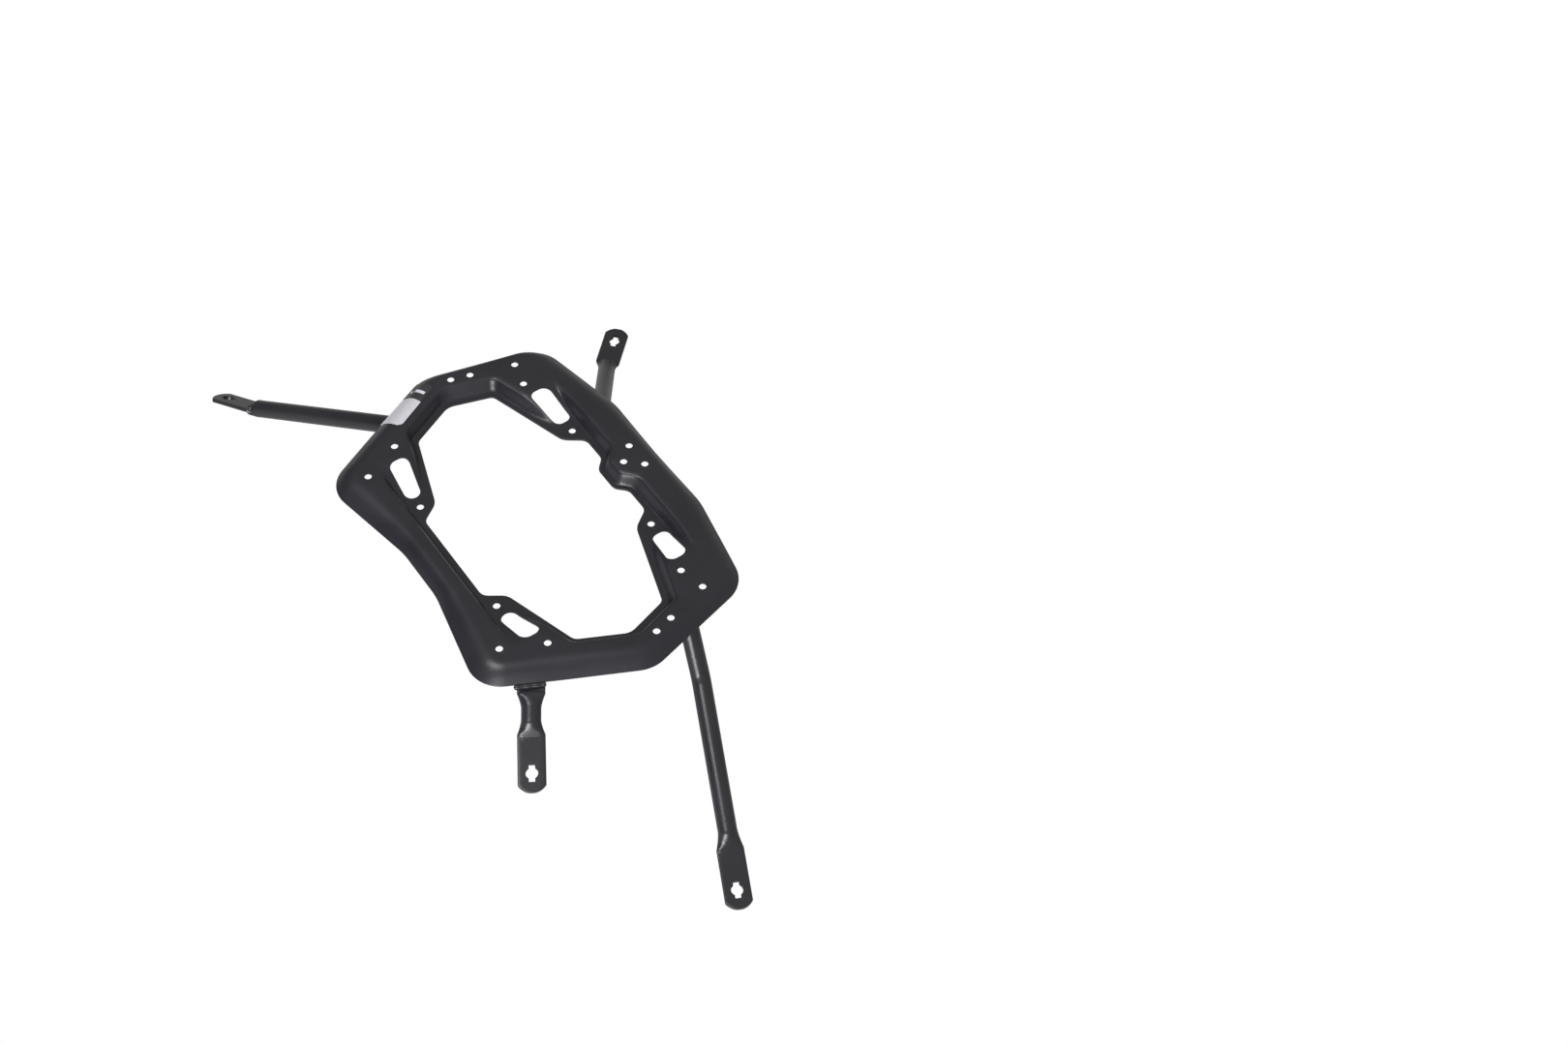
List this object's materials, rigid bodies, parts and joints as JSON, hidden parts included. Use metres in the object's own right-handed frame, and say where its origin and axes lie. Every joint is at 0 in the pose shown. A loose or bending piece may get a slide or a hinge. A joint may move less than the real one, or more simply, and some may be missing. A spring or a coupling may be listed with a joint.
{
  "type": "pannier frame",
  "caption": "Pressed sheet steel ring that carries a motorcycle side case, on four welded tube stays with flattened, notched bolt tabs.",
  "frame": {"origin": "middle of the four case bolts, on the top surface of the ring's face", "axes": "+Z out of the face towards the case, +X along the ring's length towards the end with two stays, +Y towards the bar with the tongue"},
  "size_m": [0.7712, 0.3908, 0.1355],
  "materials": {
    "ring_coat": "satin black powder coat",
    "stay_coat": "satin black powder coat",
    "white_paper": "matt white label",
    "clear_film": "dull clear film over black"
  },
  "bodies": {
    "root": {"pressed_frame": "ring_coat", "left_stay": "stay_coat", "upper_stay": "stay_coat", "right_stay": "stay_coat", "short_stay": "stay_coat", "white_label": "white_paper", "clear_label": "clear_film"}
  },
  "joints": []
}
